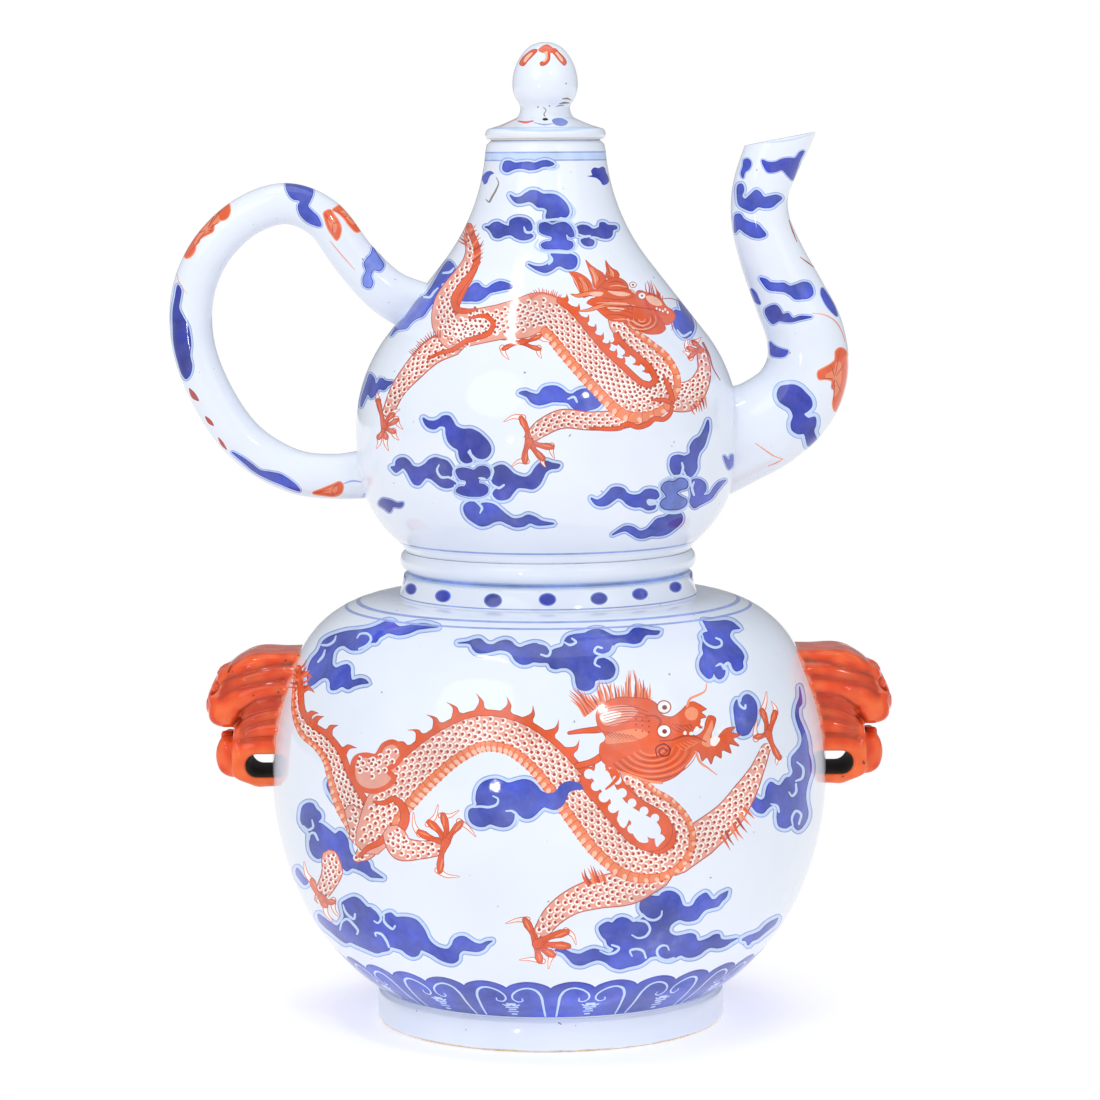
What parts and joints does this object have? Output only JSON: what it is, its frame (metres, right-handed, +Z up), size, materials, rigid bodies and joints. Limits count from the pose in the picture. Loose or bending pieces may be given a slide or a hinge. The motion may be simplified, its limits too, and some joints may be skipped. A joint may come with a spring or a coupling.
{
  "type": "wine pot",
  "caption": "Porcelain wine pot with lid, spout and loop handle, seated on a globular hot-water warmer with lion masks.",
  "frame": {"origin": "centre of the foot ring's flat underside, on the axis of the set", "axes": "+Z up along the axis, +X from the axis to the spout, -Y the painted front seen in the picture"},
  "size_m": [0.1767, 0.1368, 0.24],
  "materials": {
    "foot_porcelain": "glossy pale glaze, thin brown unglazed rim",
    "warmer_porcelain": "glossy bluish white glaze with cobalt blue and iron red painting",
    "collar_porcelain": "glossy bluish white glaze with cobalt dots",
    "mask_glaze": "glossy orange-red enamel",
    "pot_porcelain": "glossy bluish white glaze with cobalt blue and iron red painting",
    "well_porcelain": "plain pale glaze",
    "spout_porcelain": "glossy bluish white glaze with cobalt clouds",
    "handle_porcelain": "glossy bluish white glaze with blue and red touches",
    "lid_porcelain": "glossy bluish white glaze",
    "knob_porcelain": "glossy bluish white glaze with red petals"
  },
  "bodies": {
    "warmer": {"warmer_foot_ring": "foot_porcelain", "warmer_bowl": "warmer_porcelain", "warmer_collar": "collar_porcelain", "left_lion_mask": "mask_glaze", "right_lion_mask": "mask_glaze"},
    "pot": {"pot_lower_body": "pot_porcelain", "pot_body": "pot_porcelain", "pot_neck": "pot_porcelain", "pot_seat_ring": "pot_porcelain", "pot_heating_well": "well_porcelain", "pot_spout": "spout_porcelain", "pot_handle": "handle_porcelain"},
    "lid": {"lid_plate": "lid_porcelain", "lid_flange": "lid_porcelain", "lid_knob": "knob_porcelain"}
  },
  "joints": [
    {"name": "pot_lift", "type": "slide", "parent": "warmer", "child": "pot", "axis": [0, 0, 1], "range_m": [0, 0.07]},
    {"name": "lid_lift", "type": "slide", "parent": "pot", "child": "lid", "axis": [0, 0, 1], "range_m": [0, 0.04]}
  ]
}
